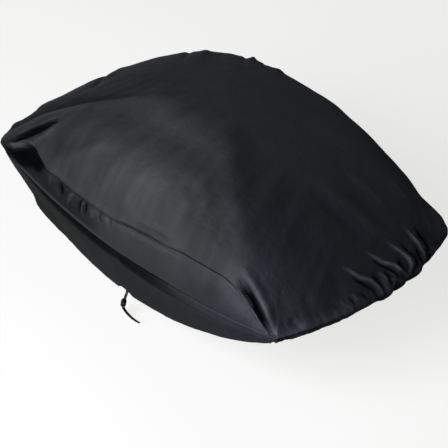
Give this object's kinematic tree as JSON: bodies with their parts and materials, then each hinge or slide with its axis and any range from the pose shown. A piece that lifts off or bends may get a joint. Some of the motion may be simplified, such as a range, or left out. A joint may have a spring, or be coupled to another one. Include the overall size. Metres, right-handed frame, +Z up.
{
  "type": "grill cover",
  "caption": "Fitted coated-fabric cover for a portable grill: lens-shaped hood, deep front and rear panels, gathered drawcord hem with a hanging spring cord lock.",
  "frame": {"origin": "centre of the flat inner face of the crown, where the cover rests on the closed lid of the grill", "axes": "+Z up out of the crown, +X along the long side to the right end, the front with the drawcord opening faces -Y"},
  "size_m": [0.6892, 0.454, 0.3122],
  "materials": {
    "coated_fabric": "satin",
    "binding_tape": "matte",
    "drawcord": "matte",
    "lock_plastic": "satin",
    "spring_steel": "satin",
    "label_cloth": "matte"
  },
  "bodies": {
    "root": {"centre_panel": "coated_fabric", "front_panel": "coated_fabric", "rear_panel": "coated_fabric", "front_seam_binding": "binding_tape", "rear_seam_binding": "binding_tape", "hem_channel_front_left": "coated_fabric", "hem_channel_front_right": "coated_fabric", "hem_channel_rear": "coated_fabric", "hem_channel_left_end": "coated_fabric", "hem_channel_right_end": "coated_fabric", "draw_cord": "drawcord", "care_label": "label_cloth"},
    "cord_tail": {"cord_tail_left": "drawcord", "cord_tail_right": "drawcord"},
    "cord_lock": {"cord_lock_barrel": "lock_plastic", "cord_lock_spring": "spring_steel"},
    "lock_plunger": {"cord_lock_plunger": "lock_plastic"}
  },
  "joints": [
    {"name": "tail_swing", "type": "hinge", "parent": "root", "child": "cord_tail", "pos_m": [0.009, -0.19349, -0.26632], "axis": [0, -1, 0], "range_deg": [-35, 35]},
    {"name": "lock_slide", "type": "slide", "parent": "cord_tail", "child": "cord_lock", "axis": [0.2697, 0, 0.9629], "range_m": [0, 0.016]},
    {"name": "plunger_press", "type": "slide", "parent": "cord_lock", "child": "lock_plunger", "axis": [0.6456, -0.742, -0.1808], "range_m": [0, 0.002], "deforming": ["cord_lock_spring"]}
  ]
}
